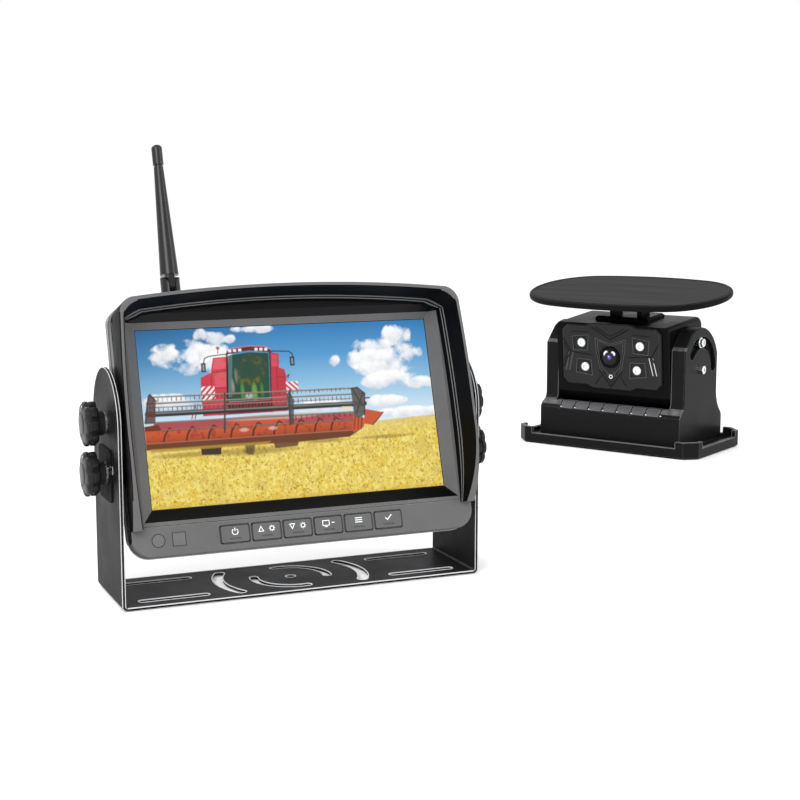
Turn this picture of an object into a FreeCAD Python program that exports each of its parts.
import FreeCAD, Part
import math
import os

# Backup camera kit: a seven inch monitor that tilts in a bent sheet bracket, and a solar camera
# in a magnetic cradle, both standing on one surface. Millimetres, +Z up, the front towards -Y.
# The origin is the centre hole of the bracket, on the bracket's underside.

V = FreeCAD.Vector
ALONG_X = V(1, 0, 0)
ALONG_Y = V(0, 1, 0)
ALONG_Z = V(0, 0, 1)
SIDES = (-1, 1)

# ---- bracket
BRACKET_WIDTH = 188.0
BRACKET_DEPTH = 54.0
SHEET = 1.5
BEND_INSIDE = 1.0
PIVOT_Z = 87.7
ARM_OUTER = BRACKET_WIDTH / 2
ARM_INNER = ARM_OUTER - SHEET
CENTRE_HOLE_R = 2.6
LONG_SLOT_X = 66.0
LONG_SLOT_Y = 17.0
LONG_SLOT_LENGTH = 36.0
LONG_SLOT_WIDTH = 4.5
RING_SLOT_RADIUS = 19.0
RING_SLOT_WIDTH = 4.5
OUTER_ARC_RADIUS = 37.5
OUTER_ARC_WIDTH = 5.5
OUTER_ARC_HALF_ANGLE = 30.0
PAD_THICK = 0.8
PAD_HALF_DEPTH = 13.0
PAD_LOW = 50.0
PAD_HIGH = 75.8

# ---- clamp knobs and their studs
STUD_R = 2.0
RUNNING_FIT = 0.06
STUD_SPACING = 24.3
LOWER_STUD_ANGLE = -6.1
TILT_BACK = 17.5
SLOT_FIRST_ANGLE = -28.5
SLOT_LAST_ANGLE = 21.5
STUD_SLOT_WIDTH = 4.7
KNOB_R = 11.0
KNOB_HUB_R = 6.0
KNOB_HUB_LONG = 3.6
KNOB_HEAD_LONG = 7.4
KNOB_LOBES = 8
WASHER_R = 5.4
WASHER_THICK = 0.9
FACE_GAP = 0.1

# ---- monitor, drawn upright and then leaned back about the pivot
SCREEN_Z = PIVOT_Z - 1.0
SCREEN_Y = -7.5
BEZEL_FRONT = SCREEN_Y - 5.0
SEAM_Y = SCREEN_Y + 3.5
REAR_Y = SCREEN_Y + 18.0
BEZEL_HALF = 89.5
BEZEL_BOTTOM = SCREEN_Z - 67.0
BEZEL_TOP = SCREEN_Z + 57.0
BEZEL_CORNER = 10.0
PICTURE_HALF_X = 77.0
PICTURE_HALF_Z = 44.0
RECESS_HALF_X = 82.6
RECESS_BELOW = 50.4
RECESS_ABOVE = 51.5
STRIP_GROOVE_Z = SCREEN_Z - 52.3
STRIP_THICK = 2.5
COVER_HALF = 88.0
COVER_BOTTOM = SCREEN_Z - 62.0
COVER_TOP = SCREEN_Z + 56.0
WALL = 2.0
INSERT_R = 2.9
INSERT_LONG = 9.0
LUG_R = 7.0
LUG_OUTER = ARM_INNER - 0.3

# ---- sun visor
VISOR_REACH = 17.0
VISOR_HALF_LOW = 89.4
VISOR_HALF_MID = 90.6
VISOR_HALF_HIGH = 88.8
VISOR_SHOULDER = 48.0
VISOR_CORNER_TOP = 57.0
VISOR_CROWN = 61.2
VISOR_CORNER_R = 8.6
VISOR_BOTTOM = -54.0
VISOR_RIM = 3.2
VISOR_ROOT = 6.2

# ---- keys in the strip under the screen
KEY_NAMES = ("power", "up", "down", "channel", "menu", "select")
KEY_PITCH = 16.12
KEY_FIRST_X = -38.6
KEY_Z = SCREEN_Z - 59.25
KEY_HALF_X = 7.05
KEY_HALF_Z = 4.05
KEY_GAP = 0.3
KEY_PROUD = 0.6
REMOTE_X = -76.6
REMOTE_R = 3.1
SENSOR_X = -66.4
SENSOR_HALF = 3.15

# ---- antenna
ANTENNA_X = -54.0
ANTENNA_Y = 3.2
ANTENNA_PIN_UP = 12.5
COLLAR_R = 4.9
TONGUE_HALF = 1.4
TONGUE_GAP = 0.3
WHIP_BOTTOM_R = 4.7
WHIP_TOP_R = 2.4
WHIP_SHOULDER_UP = 18.0
WHIP_TOP_UP = 74.5
CAP_R = 2.7
CAP_LONG = 11.5

# ---- camera unit, drawn square to its own axes and then turned and set down
UNIT_AT = V(371, 282, 0)
UNIT_TURN = -58.5
BASE_WIDTH = 150.0
BASE_DEPTH = 86.0
BASE_CORNER = 8.7
BASE_PAD = 1.0
TRAY_FLOOR = 4.6
TRAY_RIM = 7.5
TRAY_GUARD = 12.6
TRAY_WALL = 2.8
GUARD_ALONG_X = 15.0
GUARD_ALONG_Y = 14.0
MAGNET_R = 11.0
CRADLE_HALF = 58.3
CHEEK_INNER = 47.5
CRADLE_FRONT = -32.8
CRADLE_REAR = 39.6
LIP_TOP = 32.6
HEAD_PIVOT = V(0, 2.2, 60.4)
TROUGH_R = 37.0
CLAMP_RADIUS = 20.4
CLAMP_SLOT_WIDTH = 4.8
CLAMP_SLOT_FIRST = 4.0
CLAMP_SLOT_LAST = 141.0
CLAMP_RECESS_WIDTH = 8.6
CLAMP_RECESS_DEPTH = 4.0
CLAMP_COLLAR_R = 3.9
LIP_GROOVES = 8
LIP_GROOVE_PITCH = 11.9
HEAD_HALF = 46.8
HEAD_DRUM_R = 34.0
HEAD_FRONT = -27.0
HEAD_REAR = 30.0
HEAD_TOP = 96.0
HEAD_SEAM = 4.0
HEAD_WALL = 2.4
HEAD_PITCH = 5.0
FACE_Z = 72.0
FACE_HALF_X = 40.8
FACE_HALF_Z = 22.6
FACE_STEP = 2.2
FACE_THICK = 3.2
LENS_RING_R = 8.4
LENS_GLASS_R = 6.4
LED_R = 3.5
LED_SPOTS = ((-24.4, 9.4), (24.4, 9.4), (-21.6, -8.9), (21.6, -8.9))
PANEL_PIN_Z = 106.5
PANEL_PITCH = 10.0
PANEL_LENGTH = 161.0
PANEL_WIDTH = 91.0
PANEL_THICK = 4.4
PANEL_UNDER = 113.0
PANEL_END_R = 42.0


# ---- small shape helpers

def block(x0, x1, y0, y1, z0, z1):
    return Part.makeBox(x1 - x0, y1 - y0, z1 - z0, V(x0, y0, z0))


def rod(radius, length, at, along):
    return Part.makeCylinder(radius, length, at, along)


def prism(points, along):
    """A closed outline of straight edges, pushed along a vector."""
    wire = Part.makePolygon(list(points) + [points[0]])
    return Part.Face(wire).extrude(along)


def path_face(pieces):
    """A face inside edges given as (start, end) lines and (start, middle, end) arcs."""
    edges = []
    for piece in pieces:
        if len(piece) == 2:
            edges.append(Part.LineSegment(piece[0], piece[1]).toShape())
        else:
            edges.append(Part.Arc(piece[0], piece[1], piece[2]).toShape())
    return Part.Face(Part.Wire(edges))


def rounded_block(half_x, z0, z1, corner, y0, y1):
    """A block standing in the XZ plane, with its four upright corners rounded."""
    body = block(-half_x, half_x, y0, y1, z0, z1)
    edges = [e for e in body.Edges if abs(e.BoundBox.YLength - (y1 - y0)) < 0.001]
    return body.makeFillet(corner, edges)


def arc_slot(centre, radius, width, first, last, height, plane):
    """A curved slot of even width with round ends. Angles turn from the plane's first axis."""
    if plane == "xy":
        def spot(r, a):
            return centre + V(r * math.cos(a), r * math.sin(a), 0)
        along = ALONG_Z * height
    else:
        def spot(r, a):
            return centre + V(0, r * math.cos(a), r * math.sin(a))
        along = ALONG_X * height
    a0 = math.radians(first)
    a1 = math.radians(last)
    mid = (a0 + a1) / 2
    half = width / 2
    over = half / radius
    face = path_face([
        (spot(radius + half, a0), spot(radius + half, mid), spot(radius + half, a1)),
        (spot(radius + half, a1), spot(radius, a1 + over), spot(radius - half, a1)),
        (spot(radius - half, a1), spot(radius - half, mid), spot(radius - half, a0)),
        (spot(radius - half, a0), spot(radius, a0 - over), spot(radius + half, a0)),
    ])
    return face.extrude(along)


def straight_slot(x, y, length, width, z0, z1):
    half = (length - width) / 2
    body = block(x - half, x + half, y - width / 2, y + width / 2, z0, z1)
    for end in SIDES:
        body = body.fuse(rod(width / 2, z1 - z0, V(x + end * half, y, z0), ALONG_Z))
    return body.removeSplitter()


def mirrored(shape):
    return shape.mirror(V(0, 0, 0), ALONG_X)


def soften(shape, radius, wanted):
    return shape.makeFillet(radius, [e for e in shape.Edges if wanted(e)])


def carve(shape, cuts):
    """Takes the cuts away one after another."""
    for cut in cuts:
        shape = shape.cut(cut)
    return shape


def bevel(shape, size, wanted):
    return shape.makeChamfer(size, [e for e in shape.Edges if wanted(e)])


def lean(shape):
    """Turns an upright monitor piece back about the pivot."""
    leaned = shape.copy()
    leaned.rotate(V(0, 0, PIVOT_Z), ALONG_X, -TILT_BACK)
    return leaned


def pitch_head(shape):
    """Turns a camera head piece forward about the head pivot."""
    turned = shape.copy()
    turned.rotate(HEAD_PIVOT, ALONG_X, HEAD_PITCH)
    return turned


def pitch_panel(shape):
    """Turns a panel piece forward about its pin, and then with the head."""
    turned = shape.copy()
    turned.rotate(V(0, HEAD_PIVOT.y, PANEL_PIN_Z), ALONG_X, PANEL_PITCH - HEAD_PITCH)
    return pitch_head(turned)


def set_down(shape):
    """Puts a camera unit piece where the unit stands."""
    moved = shape.copy()
    moved.rotate(V(0, 0, 0), ALONG_Z, UNIT_TURN)
    moved.translate(UNIT_AT)
    return moved


def export(name, shape):
    shape.exportStep(os.path.join("parts", name + ".step"))


# ---- bracket

def lower_stud_at(side, upright=False):
    """The lower stud's axis, on the monitor's side face, leaned or upright."""
    turn = math.radians(LOWER_STUD_ANGLE + (TILT_BACK if upright else 0))
    return V(side * ARM_OUTER, STUD_SPACING * math.sin(turn), PIVOT_Z - STUD_SPACING * math.cos(turn))


def stud_slot(x, depth):
    centre = V(x, 0, PIVOT_Z)
    return arc_slot(
        centre, STUD_SPACING, STUD_SLOT_WIDTH, SLOT_FIRST_ANGLE - 90, SLOT_LAST_ANGLE - 90, depth, "yz"
    )


def base_slots():
    """The cuts in the base plate: four long slots, two outer arcs and a ring in two halves."""
    low = -1.0
    high = SHEET + 1.0
    cuts = [rod(CENTRE_HOLE_R, high - low, V(0, 0, low), ALONG_Z)]
    for x_side in SIDES:
        for y_side in SIDES:
            cuts.append(
                straight_slot(
                    x_side * LONG_SLOT_X, y_side * LONG_SLOT_Y, LONG_SLOT_LENGTH, LONG_SLOT_WIDTH, low, high
                )
            )
    for middle in (0, 180):
        cuts.append(
            arc_slot(
                V(0, 0, low), OUTER_ARC_RADIUS, OUTER_ARC_WIDTH,
                middle - OUTER_ARC_HALF_ANGLE, middle + OUTER_ARC_HALF_ANGLE, high - low, "xy",
            )
        )
    for middle in (42, 222):
        cuts.append(
            arc_slot(
                V(0, 0, low), RING_SLOT_RADIUS, RING_SLOT_WIDTH, middle - 56, middle + 56, high - low, "xy"
            )
        )
    return cuts


def arm():
    """The right arm: a straight strip with a half-round top."""
    half = BRACKET_DEPTH / 2
    face = path_face([
        (V(ARM_INNER, -half, 0), V(ARM_INNER, half, 0)),
        (V(ARM_INNER, half, 0), V(ARM_INNER, half, PIVOT_Z)),
        (V(ARM_INNER, half, PIVOT_Z), V(ARM_INNER, 0, PIVOT_Z + half), V(ARM_INNER, -half, PIVOT_Z)),
        (V(ARM_INNER, -half, PIVOT_Z), V(ARM_INNER, -half, 0)),
    ])
    body = face.extrude(ALONG_X * SHEET)
    body = body.cut(rod(STUD_R + RUNNING_FIT, 6, V(ARM_INNER - 2, 0, PIVOT_Z), ALONG_X))
    return body.cut(stud_slot(ARM_INNER - 2, 6))


def bracket():
    half = BRACKET_DEPTH / 2
    body = block(-ARM_OUTER, ARM_OUTER, -half, half, 0, SHEET)
    right = arm()
    body = body.fuse([right, mirrored(right)]).removeSplitter()

    def bend(edge, x, z):
        box = edge.BoundBox
        along_y = box.YLength > BRACKET_DEPTH - 1 and box.XLength < 0.01 and box.ZLength < 0.01
        return along_y and abs(abs(box.Center.x) - x) < 0.01 and abs(box.Center.z - z) < 0.01

    body = soften(body, BEND_INSIDE + SHEET, lambda e: bend(e, ARM_OUTER, 0))
    body = soften(body, BEND_INSIDE, lambda e: bend(e, ARM_INNER, SHEET))
    return carve(body, base_slots())


def arm_pads():
    """A thin rubber pad on each arm's outer face, under the lower knob."""
    pad = block(ARM_OUTER, ARM_OUTER + PAD_THICK, -PAD_HALF_DEPTH, PAD_HALF_DEPTH, PAD_LOW, PAD_HIGH)
    pad = soften(pad, 3.0, lambda e: e.BoundBox.XLength > PAD_THICK - 0.01)
    pad = pad.cut(stud_slot(ARM_OUTER - 1, 4))
    return Part.makeCompound([pad, mirrored(pad)])


# ---- knobs, studs, washers and inserts

def knob(side, at, seat):
    """A lobed knob on the +X side, or its mirror image, whose hub starts at the seat."""
    head_start = seat + KNOB_HUB_LONG
    head = rod(KNOB_R, KNOB_HEAD_LONG, V(head_start, 0, 0), ALONG_X)
    for number in range(KNOB_LOBES):
        turn = math.radians((number + 0.5) * 360 / KNOB_LOBES)
        spot = V(head_start - 1, 12.4 * math.cos(turn), 12.4 * math.sin(turn))
        head = head.cut(rod(2.9, KNOB_HEAD_LONG + 2, spot, ALONG_X))
    head = soften(head, 0.9, lambda e: abs(e.BoundBox.XMin - (head_start + KNOB_HEAD_LONG)) < 0.01)
    head = head.cut(rod(5.4, 2, V(head_start + KNOB_HEAD_LONG - 1.0, 0, 0), ALONG_X))
    dome = Part.makeSphere(14, V(head_start + KNOB_HEAD_LONG - 13.7, 0, 0))
    dome = dome.common(rod(5.0, 4, V(head_start + KNOB_HEAD_LONG - 3, 0, 0), ALONG_X))
    hub = rod(KNOB_HUB_R, KNOB_HUB_LONG + 1, V(seat, 0, 0), ALONG_X)
    body = head.fuse([dome, hub]).removeSplitter()
    body = body.cut(rod(STUD_R, 6.5, V(seat - 1, 0, 0), ALONG_X))
    if side < 0:
        body = mirrored(body)
    body.translate(V(0, at.y, at.z))
    return body


def stud(side, at, seat):
    """The steel screw moulded into a knob. It reaches through the arm into the side insert."""
    inner = COVER_HALF - INSERT_LONG + 2
    body = rod(STUD_R, seat + 5.5 - inner, V(inner, 0, 0), ALONG_X)
    body = bevel(body, 0.4, lambda e: e.BoundBox.XMax < inner + 0.01)
    if side < 0:
        body = mirrored(body)
    body.translate(V(0, at.y, at.z))
    return body


def washer(side, at, seat):
    body = rod(WASHER_R, WASHER_THICK, V(seat - WASHER_THICK, 0, 0), ALONG_X)
    body = body.cut(rod(STUD_R + 0.3, 4, V(seat - 3, 0, 0), ALONG_X))
    if side < 0:
        body = mirrored(body)
    body.translate(V(0, at.y, at.z))
    return body


def knob_places():
    """(name, side, axis, hub seat) of each clamp knob."""
    upper_seat = ARM_OUTER + FACE_GAP + WASHER_THICK
    lower_seat = upper_seat + PAD_THICK
    places = []
    for side, hand in ((-1, "left"), (1, "right")):
        places.append(("upper_" + hand, side, V(side * ARM_OUTER, 0, PIVOT_Z), upper_seat))
        places.append(("lower_" + hand, side, lower_stud_at(side), lower_seat))
    return places


def insert_spots():
    return (V(0, 0, PIVOT_Z), V(0, lower_stud_at(1, upright=True).y, lower_stud_at(1, upright=True).z))


def side_inserts():
    """Four threaded brass inserts, drawn upright, two in each side of the rear cover."""
    inserts = []
    for spot in insert_spots():
        start = COVER_HALF - INSERT_LONG
        body = rod(INSERT_R, INSERT_LONG, V(start, spot.y, spot.z), ALONG_X)
        body = body.cut(rod(STUD_R + RUNNING_FIT, INSERT_LONG + 2, V(start - 1, spot.y, spot.z), ALONG_X))
        inserts += [body, mirrored(body)]
    return Part.makeCompound(inserts)


# ---- monitor housing

def window_recess():
    """The tapered recess round the picture, wider at the front."""
    def rectangle(half_x, below, above, y):
        corners = [
            V(-half_x, y, SCREEN_Z - below), V(half_x, y, SCREEN_Z - below),
            V(half_x, y, SCREEN_Z + above), V(-half_x, y, SCREEN_Z + above),
        ]
        return Part.makePolygon(corners + corners[:1])

    front = rectangle(RECESS_HALF_X, RECESS_BELOW, RECESS_ABOVE, BEZEL_FRONT)
    back = rectangle(PICTURE_HALF_X + 0.4, PICTURE_HALF_Z + 0.4, PICTURE_HALF_Z + 0.4, SCREEN_Y - 0.4)
    taper = Part.makeLoft([front, back], True, True)
    through = block(
        -PICTURE_HALF_X - 0.4, PICTURE_HALF_X + 0.4, SCREEN_Y - 0.5, SCREEN_Y + 1,
        SCREEN_Z - PICTURE_HALF_Z - 0.4, SCREEN_Z + PICTURE_HALF_Z + 0.4,
    )
    return [taper, through]


def key_x(number):
    return KEY_FIRST_X + number * KEY_PITCH


def front_bezel():
    body = rounded_block(BEZEL_HALF, BEZEL_BOTTOM, BEZEL_TOP, BEZEL_CORNER, BEZEL_FRONT, SEAM_Y)
    body = soften(body, 1.2, lambda e: abs(e.BoundBox.YMax - BEZEL_FRONT) < 0.01)
    cuts = window_recess()
    cuts.append(block(-84, 84, SCREEN_Y, SEAM_Y + 1, SCREEN_Z - 51, SCREEN_Z + 51))
    cuts.append(
        block(-86, 86, BEZEL_FRONT + STRIP_THICK, SEAM_Y + 1, BEZEL_BOTTOM + 2.5, SCREEN_Z - 53.6)
    )
    groove = block(-BEZEL_HALF - 1, BEZEL_HALF + 1, BEZEL_FRONT - 1, BEZEL_FRONT + 0.5,
                   STRIP_GROOVE_Z - 0.3, STRIP_GROOVE_Z + 0.3)
    cuts.append(groove)
    for number in range(len(KEY_NAMES)):
        x = key_x(number)
        half_x = KEY_HALF_X + KEY_GAP
        half_z = KEY_HALF_Z + KEY_GAP
        low, high = KEY_Z - half_z, KEY_Z + half_z
        cuts.append(block(x - half_x, x + half_x, BEZEL_FRONT - 1, BEZEL_FRONT + 4, low, high))
    cuts.append(rod(REMOTE_R, 5, V(REMOTE_X, BEZEL_FRONT - 1, KEY_Z), ALONG_Y))
    cuts.append(
        block(SENSOR_X - SENSOR_HALF, SENSOR_X + SENSOR_HALF, BEZEL_FRONT - 1, BEZEL_FRONT + 4,
              KEY_Z - SENSOR_HALF, KEY_Z + SENSOR_HALF)
    )
    return carve(body, cuts)


def cover_lugs():
    """Round lugs on the sides of the rear cover that fill the gap to the arms."""
    lugs = []
    for spot in insert_spots():
        disc = rod(LUG_R, LUG_OUTER - 80, V(80, spot.y, spot.z), ALONG_X)
        keep = block(79, LUG_OUTER + 1, SEAM_Y, REAR_Y - 0.2, spot.z - 10, spot.z + 10)
        lug = disc.common(keep)
        lugs += [lug, mirrored(lug)]
    return lugs


def rear_screw_spots():
    return [
        V(x_side * 76, 0, z) for x_side in SIDES for z in (COVER_BOTTOM + 9, COVER_TOP - 9)
    ]


def cover_vents():
    """Upright cooling slots near the top and a speaker grille of short slots."""
    cuts = []
    for x_side in SIDES:
        for number in range(7):
            x = x_side * (26 + 6 * number)
            cuts.append(block(x - 0.9, x + 0.9, REAR_Y - 4, REAR_Y + 1, SCREEN_Z + 18, SCREEN_Z + 42))
    for number in range(6):
        x = 40 + 4 * number
        cuts.append(block(x - 0.8, x + 0.8, REAR_Y - 4, REAR_Y + 1, SCREEN_Z - 33, SCREEN_Z - 15))
    cuts.append(block(-32, 22, REAR_Y - 0.5, REAR_Y + 1, SCREEN_Z - 34, SCREEN_Z - 6))
    return cuts


def rear_cover():
    body = rounded_block(COVER_HALF, COVER_BOTTOM, COVER_TOP, 6.0, SEAM_Y, REAR_Y)
    body = soften(body, 4.0, lambda e: abs(e.BoundBox.YMin - REAR_Y) < 0.01)
    hollow = rounded_block(
        COVER_HALF - WALL, COVER_BOTTOM + WALL, COVER_TOP - WALL, 4.0, SEAM_Y - 1, REAR_Y - WALL
    )
    body = body.cut(hollow)
    posts = [rod(3.6, REAR_Y - 1 - SEAM_Y, V(s.x, SEAM_Y, s.z), ALONG_Y) for s in rear_screw_spots()]
    body = body.fuse(cover_lugs() + posts).removeSplitter()
    cuts = cover_vents()
    for spot in rear_screw_spots():
        cuts.append(rod(1.3, 16, V(spot.x, SEAM_Y - 1, spot.z), ALONG_Y))
        cuts.append(rod(2.8, 3, V(spot.x, REAR_Y - 2, spot.z), ALONG_Y))
    for spot in insert_spots():
        for side in SIDES:
            start = V(side * 79, spot.y, spot.z)
            cuts.append(rod(INSERT_R, COVER_HALF - 79, start, ALONG_X * side))
            cuts.append(rod(STUD_R + 0.4, 8, V(side * (COVER_HALF - 1), spot.y, spot.z), ALONG_X * side))
    cuts.append(rod(3.1, 8, V(ANTENNA_X, ANTENNA_Y, COVER_TOP - 5), ALONG_Z))
    cuts.append(rod(4.2, 8, V(58, REAR_Y - 4, COVER_BOTTOM + 12), ALONG_Y))
    return carve(body, cuts)


def rear_cover_screws():
    screws = []
    for spot in rear_screw_spots():
        head = rod(2.8, 1.6, V(spot.x, REAR_Y - 2, spot.z), ALONG_Y)
        shank = rod(1.3, 11, V(spot.x, REAR_Y - 12, spot.z), ALONG_Y)
        slot_a = block(spot.x - 1.6, spot.x + 1.6, REAR_Y - 1.2, REAR_Y + 1, spot.z - 0.35, spot.z + 0.35)
        slot_b = block(spot.x - 0.35, spot.x + 0.35, REAR_Y - 1.2, REAR_Y + 1, spot.z - 1.6, spot.z + 1.6)
        screws.append(head.fuse(shank).cut([slot_a, slot_b]))
    return Part.makeCompound(screws)


def visor_face(wall, bottom, y):
    """The visor's arched outline, moved in by a wall, closed across the bottom."""
    shoulder = SCREEN_Z + VISOR_SHOULDER
    corner_top = SCREEN_Z + VISOR_CORNER_TOP - wall
    high = VISOR_HALF_HIGH - wall
    inset = VISOR_CORNER_R
    round_in = inset * (1 - math.cos(math.pi / 4))
    sides = []
    for side in SIDES:
        sides.append({
            "low": V(side * (VISOR_HALF_LOW - wall), y, SCREEN_Z + bottom),
            "mid": V(side * (VISOR_HALF_MID - wall), y, SCREEN_Z - 8),
            "shoulder": V(side * high, y, shoulder),
            "round": V(side * (high - round_in), y, corner_top - round_in),
            "top": V(side * (high - inset), y, corner_top),
        })
    left, right = sides
    crown = V(0, y, SCREEN_Z + VISOR_CROWN - wall)
    return path_face([
        (right["low"], right["mid"], right["shoulder"]),
        (right["shoulder"], right["round"], right["top"]),
        (right["top"], crown, left["top"]),
        (left["top"], left["round"], left["shoulder"]),
        (left["shoulder"], left["mid"], left["low"]),
        (left["low"], right["low"]),
    ])


def sun_visor():
    """The hood in front of the bezel: an arched shell whose sides sweep back towards the bottom."""
    rim_y = BEZEL_FRONT - VISOR_REACH
    outer = visor_face(0, VISOR_BOTTOM, rim_y).extrude(ALONG_Y * VISOR_REACH)
    rim_wire = visor_face(VISOR_RIM, VISOR_BOTTOM - 1, rim_y).OuterWire
    root_wire = visor_face(VISOR_ROOT, VISOR_BOTTOM - 1, BEZEL_FRONT).OuterWire
    body = outer.cut(Part.makeLoft([rim_wire, root_wire], True, True))
    far = BEZEL_FRONT - VISOR_REACH - 1
    foot = V(-100, BEZEL_FRONT - 4.5, SCREEN_Z + VISOR_BOTTOM - 0.5)
    top = V(-100, rim_y, SCREEN_Z - 12)
    middle = V(-100, BEZEL_FRONT - 13.8, SCREEN_Z - 37)
    sweep = path_face([
        (foot, middle, top),
        (top, V(-100, far, SCREEN_Z - 12)),
        (V(-100, far, SCREEN_Z - 12), V(-100, far, foot.z)),
        (V(-100, far, foot.z), foot),
    ])
    return body.cut(sweep.extrude(ALONG_X * 200))


# ---- monitor insides

def lcd_panel():
    return block(-82.5, 82.5, SCREEN_Y, SCREEN_Y + 2.4, SCREEN_Z - 50, SCREEN_Z + 50)


def backlight_unit():
    """The thin metal tray behind the glass, with a deeper middle between the cover's posts."""
    rim = block(-82.0, 82.0, SCREEN_Y + 2.4, SEAM_Y - 0.05, SCREEN_Z - 49, SCREEN_Z + 49)
    middle = block(-71.0, 71.0, SCREEN_Y + 2.4, SCREEN_Y + 6.5, SCREEN_Z - 48, SCREEN_Z + 48)
    return rim.fuse(middle).removeSplitter()


def main_board():
    """The driver board with its largest chips and a row of tall capacitors."""
    board_y = SCREEN_Y + 9.0
    board = block(-62, 30, board_y, board_y + 1.6, SCREEN_Z - 40, SCREEN_Z + 34)
    chips = [
        block(-20, 0, board_y + 1.6, board_y + 3.2, SCREEN_Z - 8, SCREEN_Z + 12),
        block(-48, -36, board_y + 1.6, board_y + 2.8, SCREEN_Z - 20, SCREEN_Z - 8),
    ]
    for number in range(3):
        chips.append(rod(3.0, 4.5, V(8 + 8 * number, board_y + 1.6, SCREEN_Z + 24), ALONG_Y))
    return board.fuse(chips)


def receiver_module():
    """The shielded radio box beside the antenna socket."""
    return block(-72, -46, SCREEN_Y + 8.5, SCREEN_Y + 13.5, SCREEN_Z + 36, SCREEN_Z + 51)


def speaker():
    centre = V(50, SCREEN_Y + 9.5, SCREEN_Z - 24)
    cone = Part.makeCone(13, 9, 2.4, centre + V(0, 4.0, 0), ALONG_Y * -1)
    ring = rod(14, 1.6, centre + V(0, 4.0, 0), ALONG_Y)
    magnet = rod(8, 2.0, centre + V(0, 0, 0), ALONG_Y)
    return ring.fuse([cone, magnet])


def button_board():
    """A narrow board behind the keys with one small switch for each."""
    front = SEAM_Y - 1.5
    board = block(-50, 54, front, front + 1.4, KEY_Z - 4.8, KEY_Z + 4.6)
    switches = []
    for number in range(len(KEY_NAMES)):
        switches.append(rod(1.7, 1.2, V(key_x(number), front - 1.2, KEY_Z), ALONG_Y))
    return board.fuse(switches)


def key(number):
    """A key cap with a flange behind the strip, a shallow dash in its face and a stem."""
    x = key_x(number)
    front = BEZEL_FRONT - KEY_PROUD
    flange_y = BEZEL_FRONT + STRIP_THICK + FACE_GAP
    cap = rounded_block(KEY_HALF_X, KEY_Z - KEY_HALF_Z, KEY_Z + KEY_HALF_Z, 0.8, front, flange_y)
    cap = soften(cap, 0.4, lambda e: abs(e.BoundBox.YMax - front) < 0.01)
    cap = cap.cut(block(-2.9, 2.9, front - 1, front + 0.35, KEY_Z - 2.55, KEY_Z - 1.95))
    flange = block(-7.9, 7.9, flange_y, flange_y + 0.9, KEY_Z - 4.9, KEY_Z + 4.9)
    stem = rod(1.5, 1.6, V(0, flange_y + 0.5, KEY_Z), ALONG_Y)
    body = cap.fuse([flange, stem]).removeSplitter()
    body.translate(V(x, 0, 0))
    return body


def remote_window():
    return rod(REMOTE_R, 1.6, V(REMOTE_X, BEZEL_FRONT - 0.1, KEY_Z), ALONG_Y)


def light_sensor_window():
    return block(
        SENSOR_X - SENSOR_HALF, SENSOR_X + SENSOR_HALF, BEZEL_FRONT - 0.1, BEZEL_FRONT + 1.5,
        KEY_Z - SENSOR_HALF, KEY_Z + SENSOR_HALF,
    )


def cable_grommet():
    """The rubber gland of the power lead at the back, with a short round mouth."""
    at = V(58, REAR_Y - 3.0, COVER_BOTTOM + 12)
    neck = rod(4.2, 3.6, at, ALONG_Y)
    rim = rod(5.6, 1.4, at + V(0, 3.0, 0), ALONG_Y)
    cone = Part.makeCone(4.6, 3.4, 7, at + V(0, 4.4, 0), ALONG_Y)
    return neck.fuse([rim, cone]).cut(rod(2.0, 5, at + V(0, 8.4, 0), ALONG_Y))


# ---- antenna

def antenna_socket():
    at = V(ANTENNA_X, ANTENNA_Y, COVER_TOP)
    barrel = rod(3.1, 8.4, at - V(0, 0, 3.2), ALONG_Z)
    nut = rod(4.6, 1.5, at, ALONG_Z)
    inner = rod(5.0, 1.0, at - V(0, 0, 3.0), ALONG_Z)
    return barrel.fuse([nut, inner])


def antenna_collar():
    """The swivelling sleeve on the socket, with a fork for the whip's tongue."""
    at = V(ANTENNA_X, ANTENNA_Y, COVER_TOP)
    sleeve = rod(COLLAR_R, 6.2, at + V(0, 0, 1.8), ALONG_Z)
    fork = rod(4.5, 2 * COLLAR_R, at + V(-COLLAR_R, 0, ANTENNA_PIN_UP), ALONG_X)
    legs = block(-4.9, 4.9, -4.5, 4.5, 7.9, ANTENNA_PIN_UP)
    legs.translate(at)
    cheeks = fork.fuse(legs).common(rod(COLLAR_R, 30, at, ALONG_Z))
    gap = TONGUE_HALF + TONGUE_GAP
    cheeks = cheeks.cut(block(at.x - gap, at.x + gap, at.y - 9, at.y + 9, at.z + 8.0, at.z + 30))
    body = sleeve.fuse(cheeks).removeSplitter()
    body = body.cut(rod(3.4, 5.2, at + V(0, 0, 0.5), ALONG_Z))
    return body.cut(rod(1.0, 14, at + V(-7, 0, ANTENNA_PIN_UP), ALONG_X))


def antenna_pin():
    at = V(ANTENNA_X, ANTENNA_Y, COVER_TOP + ANTENNA_PIN_UP)
    return rod(1.0, 9.2, at - V(4.6, 0, 0), ALONG_X)


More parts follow.
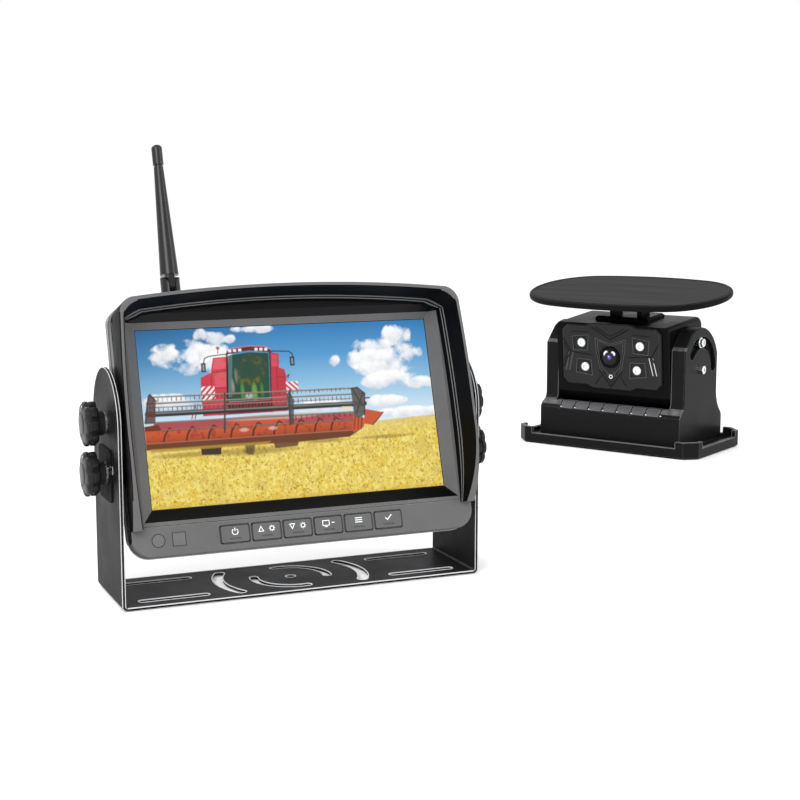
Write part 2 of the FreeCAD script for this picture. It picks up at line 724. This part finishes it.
def antenna_whip():
    at = V(ANTENNA_X, ANTENNA_Y, COVER_TOP)
    pin_z = at.z + ANTENNA_PIN_UP
    tongue = rod(4.2, 2 * TONGUE_HALF, V(at.x - TONGUE_HALF, at.y, pin_z), ALONG_X)
    neck = block(
        at.x - TONGUE_HALF, at.x + TONGUE_HALF, at.y - 4.2, at.y + 4.2, pin_z, at.z + WHIP_SHOULDER_UP + 0.5
    )
    length = WHIP_TOP_UP - WHIP_SHOULDER_UP
    shaft = Part.makeCone(WHIP_BOTTOM_R, WHIP_TOP_R, length, at + V(0, 0, WHIP_SHOULDER_UP), ALONG_Z)
    body = tongue.fuse([neck, shaft]).removeSplitter()
    return body.cut(rod(1.0 + RUNNING_FIT, 8, V(at.x - 4, at.y, pin_z), ALONG_X))


def antenna_cap():
    """The moulded tip, with a narrow waist where it meets the whip and a round end."""
    at = V(ANTENNA_X, ANTENNA_Y, COVER_TOP + WHIP_TOP_UP)
    waist = rod(CAP_R - 0.7, 1.0, at, ALONG_Z)
    tip = rod(CAP_R, CAP_LONG - 1.0, at + V(0, 0, 1.0), ALONG_Z)
    tip = soften(tip, 1.9, lambda e: e.BoundBox.ZMin > at.z + CAP_LONG - 0.01)
    return waist.fuse(tip)


# ---- camera base

def base_outline(inset, z0, z1):
    """The base's rectangle with cut corners, moved in by an inset."""
    half_x = BASE_WIDTH / 2 - inset
    half_y = BASE_DEPTH / 2 - inset
    cut = BASE_CORNER - inset * 0.5
    corners = []
    for x_side, y_side in ((-1, -1), (1, -1), (1, 1), (-1, 1)):
        along_front = V(x_side * (half_x - cut), y_side * half_y, z0)
        along_side = V(x_side * half_x, y_side * (half_y - cut), z0)
        first_is_front = x_side * y_side < 0
        corners += [along_front, along_side] if first_is_front else [along_side, along_front]
    return prism(corners, ALONG_Z * (z1 - z0))


def magnet_spots():
    return [V(x_side * 52, y_side * 24, BASE_PAD) for x_side in SIDES for y_side in SIDES]


def cradle_screw_spots():
    return [V(x_side * 54, y, 0) for x_side in SIDES for y in (-8, 10)]


def magnet_base():
    """The shallow tray that the cradle stands in, with raised corner guards."""
    body = base_outline(0, BASE_PAD, TRAY_RIM).cut(base_outline(TRAY_WALL, TRAY_FLOOR, TRAY_RIM + 1))
    ring = base_outline(0, TRAY_FLOOR, TRAY_GUARD)
    ring = ring.cut(base_outline(TRAY_WALL, TRAY_FLOOR - 1, TRAY_GUARD + 1))
    guards = []
    for x_side in SIDES:
        for y_side in SIDES:
            x0, x1 = sorted((x_side * (BASE_WIDTH / 2 + 1), x_side * (BASE_WIDTH / 2 - GUARD_ALONG_X)))
            y0, y1 = sorted((y_side * (BASE_DEPTH / 2 + 1), y_side * (BASE_DEPTH / 2 - GUARD_ALONG_Y)))
            guards.append(ring.common(block(x0, x1, y0, y1, TRAY_FLOOR, TRAY_GUARD + 1)))
    body = body.fuse(guards).removeSplitter()
    body = soften(body, 0.7, lambda e: e.BoundBox.ZMin > TRAY_GUARD - 0.01)
    cuts = [rod(MAGNET_R, 2.6, spot, ALONG_Z) for spot in magnet_spots()]
    for spot in cradle_screw_spots():
        cuts.append(rod(3.0, 1.8, spot + V(0, 0, BASE_PAD), ALONG_Z))
        cuts.append(rod(1.6, 8, spot, ALONG_Z))
    return carve(body, cuts)


def base_magnets():
    return Part.makeCompound([rod(MAGNET_R, 2.5, spot, ALONG_Z) for spot in magnet_spots()])


def base_pad():
    return base_outline(1.2, 0, BASE_PAD)


def cradle_screws():
    screws = []
    for spot in cradle_screw_spots():
        head = rod(3.0, 1.5, spot + V(0, 0, BASE_PAD), ALONG_Z)
        screws.append(head.fuse(rod(1.6, 13, spot + V(0, 0, BASE_PAD), ALONG_Z)))
    return Part.makeCompound(screws)


# ---- cradle

def cheek_profile(x):
    """The side outline of the cradle: upright front with a sloped lip, round top, flared back."""
    def at(y, z):
        return V(x, y, z)

    return path_face([
        (at(CRADLE_FRONT, TRAY_FLOOR), at(CRADLE_FRONT, 27.4)),
        (at(CRADLE_FRONT, 27.4), at(-28.4, LIP_TOP)),
        (at(-28.4, LIP_TOP), at(-26.1, 34.8), at(-25.2, 38.4)),
        (at(-25.2, 38.4), at(-25.2, 76.4)),
        (at(-25.2, 76.4), at(-23.4, 78.6)),
        (at(-23.4, 78.6), at(-13.5, 88.4)),
        (at(-13.5, 88.4), at(15.5, 88.2), at(30.2, 70.5)),
        (at(30.2, 70.5), at(30.2, 43.5)),
        (at(30.2, 43.5), at(31.8, 35.0), at(37.6, 26.4)),
        (at(37.6, 26.4), at(CRADLE_REAR, 22.0)),
        (at(CRADLE_REAR, 22.0), at(CRADLE_REAR, TRAY_FLOOR)),
        (at(CRADLE_REAR, TRAY_FLOOR), at(CRADLE_FRONT, TRAY_FLOOR)),
    ])


def head_pocket():
    """The room between the cheeks: a round trough, open above, at the front and at the back."""
    wide = 2 * CHEEK_INNER
    trough = rod(TROUGH_R, wide, V(-CHEEK_INNER, HEAD_PIVOT.y, HEAD_PIVOT.z), ALONG_X)
    front = block(-CHEEK_INNER, CHEEK_INNER, -60, HEAD_PIVOT.y, LIP_TOP, 130)
    back = block(-CHEEK_INNER, CHEEK_INNER, HEAD_PIVOT.y, 60, HEAD_PIVOT.z - TROUGH_R, 130)
    return [trough, front, back]


def lip_grooves():
    """Narrow cuts across the sloped lip in front of the head."""
    cuts = []
    for number in range(LIP_GROOVES):
        x = (number - (LIP_GROOVES - 1) / 2) * LIP_GROOVE_PITCH
        slope = [
            V(x - 0.5, CRADLE_FRONT - 1, 25.6), V(x - 0.5, CRADLE_FRONT - 1, 40),
            V(x - 0.5, -20, 40), V(x - 0.5, -20, LIP_TOP - 1.1), V(x - 0.5, -28.0, LIP_TOP - 1.1),
        ]
        cuts.append(prism(slope, ALONG_X))
    return cuts


def clamp_slot(start, width, length):
    """The curved slot round the head pivot, cut along X from a starting plane."""
    centre = V(start, HEAD_PIVOT.y, HEAD_PIVOT.z)
    return arc_slot(centre, CLAMP_RADIUS, width, CLAMP_SLOT_FIRST, CLAMP_SLOT_LAST, length, "yz")


def cradle():
    body = cheek_profile(-CRADLE_HALF).extrude(ALONG_X * 2 * CRADLE_HALF)
    rim = (-CRADLE_HALF, CRADLE_HALF)

    def outer_rim(edge):
        box = edge.BoundBox
        flat = box.XLength < 0.01 and min(abs(box.XMin - x) for x in rim) < 0.01
        return flat and box.ZMax > TRAY_FLOOR + 0.1 and box.ZMin > 30

    body = bevel(body, 0.8, outer_rim)
    cuts = head_pocket()
    cuts.append(block(-50, 50, -29, 36, TRAY_FLOOR - 1, 20.4))
    cuts += lip_grooves()
    hole_start = HEAD_PIVOT - V(CRADLE_HALF + 2, 0, 0)
    cuts.append(rod(STUD_R + RUNNING_FIT, 2 * CRADLE_HALF + 4, hole_start, ALONG_X))
    through = CRADLE_HALF - CHEEK_INNER + 4
    cuts.append(clamp_slot(-CRADLE_HALF - 2, CLAMP_SLOT_WIDTH, through))
    cuts.append(clamp_slot(CHEEK_INNER - 2, CLAMP_SLOT_WIDTH, through))
    cuts.append(clamp_slot(-CRADLE_HALF - 2, CLAMP_RECESS_WIDTH, CLAMP_RECESS_DEPTH + 2))
    cuts.append(clamp_slot(CRADLE_HALF - CLAMP_RECESS_DEPTH, CLAMP_RECESS_WIDTH, CLAMP_RECESS_DEPTH + 2))
    for spot in cradle_screw_spots():
        cuts.append(rod(1.6, 10, spot + V(0, 0, TRAY_FLOOR - 0.5), ALONG_Z))
    return carve(body, cuts)


# ---- camera head, drawn level

def head_body(inset):
    """The head's outer form moved in by an inset: a flat-sided drum below and a rounded box above."""
    half = HEAD_HALF - inset
    front = HEAD_FRONT + inset
    rear = HEAD_REAR - inset
    top = HEAD_TOP - inset
    drum = rod(HEAD_DRUM_R - inset, 2 * half, HEAD_PIVOT - V(half, 0, 0), ALONG_X)
    drum = drum.common(block(-half, half, front, rear, 0, HEAD_PIVOT.z + 10))
    upper = block(-half, half, front, rear, HEAD_PIVOT.z, top)
    upper = soften(upper, 7.0, lambda e: e.BoundBox.XLength > 2 * half - 1 and e.BoundBox.YMin > rear - 1
                   and e.BoundBox.ZMin > top - 1)
    upper = soften(upper, 3.0, lambda e: e.BoundBox.ZMin > HEAD_PIVOT.z + 1 and e.BoundBox.ZMax > top - 0.01
                   and e.BoundBox.XLength < 0.01 and e.BoundBox.YMax < rear - 2)
    return drum.fuse(upper).removeSplitter()


def head_side_holes():
    cuts = []
    for spot in (HEAD_PIVOT, HEAD_PIVOT + V(0, 0, CLAMP_RADIUS)):
        cuts.append(rod(STUD_R, 2 * HEAD_HALF + 4, spot - V(HEAD_HALF + 2, 0, 0), ALONG_X))
    return cuts


def head_hollow():
    return head_body(0).cut(head_body(HEAD_WALL))


def head_front_shell():
    """The front half of the head, with the openings behind the face plate."""
    keep = block(-90, 90, -90, HEAD_SEAM, 0, 130)
    cuts = [rod(LENS_RING_R, 8, V(0, HEAD_FRONT - 2, FACE_Z), ALONG_Y)] + head_side_holes()
    for x, up in LED_SPOTS:
        cuts.append(rod(LED_R, 8, V(x, HEAD_FRONT - 2, FACE_Z + up), ALONG_Y))
    return carve(head_hollow().common(keep), cuts)


def head_rear_shell():
    """The back half of the head, with the button hole and the charging port."""
    keep = block(-90, 90, HEAD_SEAM, 90, 0, 130)
    cuts = head_side_holes()
    cuts.append(rod(4.3, 12, V(-18, HEAD_REAR - 6, 80), ALONG_Y))
    cuts.append(block(14.5, 25.5, HEAD_REAR - 6, HEAD_REAR + 6, 77.5, 82.5))
    return carve(head_hollow().common(keep), cuts)


def face_outline(inset, y, thick):
    """The face plate's outline: a rectangle whose middle steps out above and below."""
    half_x = FACE_HALF_X - inset
    half_z = FACE_HALF_Z - inset
    step = half_z + FACE_STEP
    corner = 4.0
    points = []
    for x_side, z_side in ((-1, 1), (1, 1), (1, -1), (-1, -1)):
        run = [
            (x_side * half_x, z_side * (half_z - corner)),
            (x_side * (half_x - corner), z_side * half_z),
            (x_side * (FACE_HALF_X - 20), z_side * half_z),
            (x_side * (FACE_HALF_X - 25), z_side * step),
        ]
        points += run if x_side * z_side < 0 else run[::-1]
    return prism([V(x, y, FACE_Z + z) for x, z in points], ALONG_Y * thick)


def led_pocket(x, up):
    """The four-sided shallow pocket round one infrared light, wider away from the lens."""
    side = math.copysign(1, x)
    high = math.copysign(1, up)
    corners = [
        (x - side * 6.0, up + high * 6.2), (x + side * 7.8, up + high * 4.4),
        (x + side * 6.6, up - high * 6.0), (x - side * 5.2, up - high * 5.4),
    ]
    front = HEAD_FRONT - FACE_THICK
    return prism([V(a, front - 1, FACE_Z + b) for a, b in corners], ALONG_Y * 1.9)


def shield(scale_x, scale_z, depth):
    """The shield-shaped area round the lens: notched on top and pointed below."""
    half = [(0, 9.6), (12.6, 13.6), (12.0, 5.0), (8.8, -9.6), (0, -17.0)]
    left = [(-x, z) for x, z in half[1:-1]][::-1]
    front = HEAD_FRONT - FACE_THICK
    corners = [V(x * scale_x, front - 1, FACE_Z + z * scale_z) for x, z in half + left]
    return prism(corners, ALONG_Y * (1 + depth))


def face_plate():
    front = HEAD_FRONT - FACE_THICK
    body = face_outline(0, front, FACE_THICK)
    body = bevel(body, 1.0, lambda e: e.BoundBox.YMax < front + 0.01)
    groove = shield(1.0, 1.0, 0.7).cut(shield(0.86, 0.88, 0.8))
    cuts = [groove, rod(LENS_RING_R, 8, V(0, front - 2, FACE_Z), ALONG_Y)]
    for x, up in LED_SPOTS:
        cuts.append(led_pocket(x, up))
        cuts.append(rod(LED_R, 8, V(x, front - 2, FACE_Z + up), ALONG_Y))
    for side in SIDES:
        for shift in (0, 3.0):
            line = [(34.5 - shift, 1.5), (35.1 - shift, 1.5), (38.3 - shift, -12.0), (37.7 - shift, -12.0)]
            cuts.append(prism([V(side * x, front - 1, FACE_Z + z) for x, z in line], ALONG_Y * 1.5))
    return carve(body, cuts)


def lens_barrel():
    """The lens ring, stepped at the front, with a tube behind it."""
    front = HEAD_FRONT - FACE_THICK - 1.4
    body = rod(LENS_RING_R, 9.0, V(0, front, FACE_Z), ALONG_Y)
    body = bevel(body, 0.8, lambda e: e.BoundBox.YMax < front + 0.01)
    body = body.fuse(rod(6.8, 6.3, V(0, front + 8.5, FACE_Z), ALONG_Y))
    funnel = Part.makeCone(7.2, LENS_GLASS_R, 1.6, V(0, front - 0.01, FACE_Z), ALONG_Y)
    return body.cut([funnel, rod(LENS_GLASS_R, 6.0, V(0, front, FACE_Z), ALONG_Y)])


def lens_dome():
    """The domed front glass."""
    front = HEAD_FRONT - FACE_THICK - 1.4
    ball = Part.makeSphere(8.6, V(0, front + 8.4, FACE_Z))
    return ball.common(rod(LENS_GLASS_R, 5.6, V(0, front - 0.6, FACE_Z), ALONG_Y))


def infrared_leds():
    lights = []
    for x, up in LED_SPOTS:
        at = V(x, HEAD_FRONT - FACE_THICK + 0.2, FACE_Z + up)
        body = rod(LED_R, 5.0, at, ALONG_Y)
        lights.append(soften(body, 1.2, lambda e: e.BoundBox.YMax < at.y + 0.01))
    return Part.makeCompound(lights)


def camera_board():
    front = HEAD_FRONT + HEAD_WALL + 10.5
    board = block(-32, 32, front, front + 1.6, FACE_Z - 17, FACE_Z + 17)
    sensor = block(-5.5, 5.5, front - 2.2, front, FACE_Z - 5.5, FACE_Z + 5.5)
    return board.fuse(sensor)


def battery_cells():
    """Two round cells lying across the bottom of the head."""
    cells = []
    for y in (-8.0, 12.4):
        cells.append(rod(9.1, 65, V(-32.5, y, 46.6), ALONG_X))
    return Part.makeCompound(cells)


def side_screw(at, side, collar):
    """A hexagon screw with a cross recess on one cheek's outer face, and a collar of given length."""
    start = CRADLE_HALF + FACE_GAP
    hexagon = [V(start, 3.4 * math.cos(a * math.pi / 3), 3.4 * math.sin(a * math.pi / 3)) for a in range(6)]
    body = prism(hexagon, ALONG_X * 2.4)
    body = body.common(Part.makeSphere(6.0, V(start - 3.0, 0, 0)))
    body = body.fuse(rod(STUD_R, start - HEAD_HALF + 9, V(HEAD_HALF - 8, 0, 0), ALONG_X))
    if collar > 0:
        body = body.fuse(rod(CLAMP_COLLAR_R, collar, V(start - collar, 0, 0), ALONG_X))
    cross = [
        block(start + 1.2, start + 5, -1.8, 1.8, -0.4, 0.4),
        block(start + 1.2, start + 5, -0.4, 0.4, -1.8, 1.8),
    ]
    body = carve(body, cross)
    if side < 0:
        body = mirrored(body)
    body.translate(V(0, at.y, at.z))
    return body


def side_screws(at, collar):
    return Part.makeCompound([side_screw(at, side, collar) for side in SIDES])


def power_button():
    """A round push button with a ring-shaped dish, at the back of the head."""
    inner = HEAD_REAR - HEAD_WALL - FACE_GAP
    cap = rod(4.0, HEAD_WALL + FACE_GAP + 1.0, V(-18, inner, 80), ALONG_Y)
    cap = soften(cap, 0.5, lambda e: e.BoundBox.YMin > HEAD_REAR + 0.9)
    flange = rod(5.4, 1.0, V(-18, inner - 1.0, 80), ALONG_Y)
    return cap.fuse(flange)


def charge_port():
    """The charging socket behind the rubber plug."""
    shell = block(15.3, 24.7, HEAD_REAR - 9.0, HEAD_REAR - 1.5, 78.2, 81.8)
    return shell.cut(block(16.2, 23.8, HEAD_REAR - 7.0, HEAD_REAR, 79.1, 80.9))


def port_plug():
    """The rubber flap over the charging socket, with a round hinge bead along its lower edge."""
    flap = rounded_block(6.8, 76.2, 83.8, 2.0, HEAD_REAR + FACE_GAP, HEAD_REAR + 1.7)
    tongue = block(-3.5, 3.5, HEAD_REAR - 1.2, HEAD_REAR + 0.5, 79.3, 80.7)
    bead = rod(0.8, 10, V(-5, HEAD_REAR + FACE_GAP + 0.8, 76.2), ALONG_X)
    flap = flap.fuse([tongue, bead])
    flap.translate(V(20, 0, 0))
    return flap


# ---- solar panel, drawn level above the head

def panel_neck():
    """The fork on the head's roof that carries the panel's pin."""
    at = HEAD_PIVOT
    foot = block(-22, 22, at.y - 14, at.y + 14, HEAD_TOP, HEAD_TOP + 3.0)
    foot = bevel(foot, 1.4, lambda e: e.BoundBox.ZMin > HEAD_TOP + 2.99)
    ears = []
    for side in SIDES:
        x0, x1 = sorted((side * 9.3, side * 13.5))
        ear = rod(4.6, x1 - x0, V(x0, at.y, PANEL_PIN_Z), ALONG_X)
        leg = block(x0, x1, at.y - 6.5, at.y + 6.5, HEAD_TOP + 2, PANEL_PIN_Z - 1)
        ears += [ear, leg]
    body = foot.fuse(ears).removeSplitter()
    return body.cut(rod(1.8, 40, V(-20, at.y, PANEL_PIN_Z), ALONG_X))


def panel_pin():
    """The screw that the panel turns on, with a round head at each end."""
    shank = rod(1.8, 28, V(-14, HEAD_PIVOT.y, PANEL_PIN_Z), ALONG_X)
    heads = []
    for start in (-15.4, 13.5):
        heads.append(rod(3.4, 1.9, V(start, HEAD_PIVOT.y, PANEL_PIN_Z), ALONG_X))
    return shank.fuse(heads)


def panel_outline(inset, z0, z1):
    """An oval of four tangent arcs: round ends and gently bowed long sides."""
    a = PANEL_LENGTH / 2 - inset
    b = PANEL_WIDTH / 2 - inset
    r = PANEL_END_R - inset
    reach = a - r
    big = (reach ** 2 + b ** 2 - r ** 2) / (2 * (b - r))
    turn = math.atan2(big - b, reach)
    centre_y = HEAD_PIVOT.y

    def spot(side_x, side_y):
        return V(side_x * (reach + r * math.cos(turn)), centre_y + side_y * r * math.sin(turn), z0)

    face = path_face([
        (spot(1, -1), V(a, centre_y, z0), spot(1, 1)),
        (spot(1, 1), V(0, centre_y + b, z0), spot(-1, 1)),
        (spot(-1, 1), V(-a, centre_y, z0), spot(-1, -1)),
        (spot(-1, -1), V(0, centre_y - b, z0), spot(1, -1)),
    ])
    return face.extrude(ALONG_Z * (z1 - z0))


def panel_tray():
    """The panel's plastic back with a rounded edge, a shallow top recess and a lug below."""
    top = PANEL_UNDER + PANEL_THICK
    body = panel_outline(0, PANEL_UNDER, top)
    body = soften(body, 1.7, lambda e: True)
    body = body.cut(panel_outline(3.0, top - 0.8, top + 1))
    boss = rod(13, 2.0, V(0, HEAD_PIVOT.y, PANEL_UNDER - 1.6), ALONG_Z)
    lug = rod(4.4, 18.0, V(-9.0, HEAD_PIVOT.y, PANEL_PIN_Z), ALONG_X)
    web = block(-9.0, 9.0, HEAD_PIVOT.y - 4.4, HEAD_PIVOT.y + 4.4, PANEL_PIN_Z, PANEL_UNDER + 1)
    body = body.fuse([boss, lug, web]).removeSplitter()
    return body.cut(rod(1.8 + RUNNING_FIT, 30, V(-15, HEAD_PIVOT.y, PANEL_PIN_Z), ALONG_X))


def solar_sheet():
    """The solar laminate in the top recess."""
    top = PANEL_UNDER + PANEL_THICK
    return panel_outline(3.1, top - 0.8, top - 0.1)


# ---- write every sub-part

def make_monitor_side():
    export("bracket", bracket())
    export("arm_pads", arm_pads())
    washers = []
    for name, side, at, seat in knob_places():
        export("knob_" + name, knob(side, at, seat))
        export("stud_" + name, stud(side, at, seat))
        washers.append(washer(side, at, seat))
    export("knob_washers", Part.makeCompound(washers))
    pieces = {
        "side_inserts": side_inserts, "rear_cover": rear_cover, "front_bezel": front_bezel,
        "sun_visor": sun_visor, "rear_cover_screws": rear_cover_screws, "lcd_panel": lcd_panel,
        "backlight_unit": backlight_unit, "main_board": main_board, "receiver_module": receiver_module,
        "speaker": speaker, "button_board": button_board, "remote_window": remote_window,
        "light_sensor_window": light_sensor_window, "cable_grommet": cable_grommet,
        "antenna_socket": antenna_socket, "antenna_collar": antenna_collar, "antenna_pin": antenna_pin,
        "antenna_whip": antenna_whip, "antenna_cap": antenna_cap,
    }
    for name, make in pieces.items():
        export(name, lean(make()))
    for number, name in enumerate(KEY_NAMES):
        export("key_" + name, lean(key(number)))


def make_camera_unit():
    for name, make in {
        "magnet_base": magnet_base, "base_magnets": base_magnets, "base_pad": base_pad,
        "cradle_screws": cradle_screws, "cradle": cradle,
    }.items():
        export(name, set_down(make()))
    clamp_at = HEAD_PIVOT + V(0, 0, CLAMP_RADIUS)
    export("pivot_screws", set_down(pitch_head(side_screws(HEAD_PIVOT, 0))))
    export("clamp_screws", set_down(pitch_head(side_screws(clamp_at, CLAMP_RECESS_DEPTH))))
    for name, make in {
        "head_front_shell": head_front_shell, "head_rear_shell": head_rear_shell, "face_plate": face_plate,
        "lens_barrel": lens_barrel, "lens_dome": lens_dome, "infrared_leds": infrared_leds,
        "camera_board": camera_board, "battery_cells": battery_cells, "power_button": power_button,
        "charge_port": charge_port, "port_plug": port_plug, "panel_neck": panel_neck,
        "panel_pin": panel_pin,
    }.items():
        export(name, set_down(pitch_head(make())))
    for name, make in {"panel_tray": panel_tray, "solar_sheet": solar_sheet}.items():
        export(name, set_down(pitch_panel(make())))


os.makedirs("parts", exist_ok=True)
make_monitor_side()
make_camera_unit()
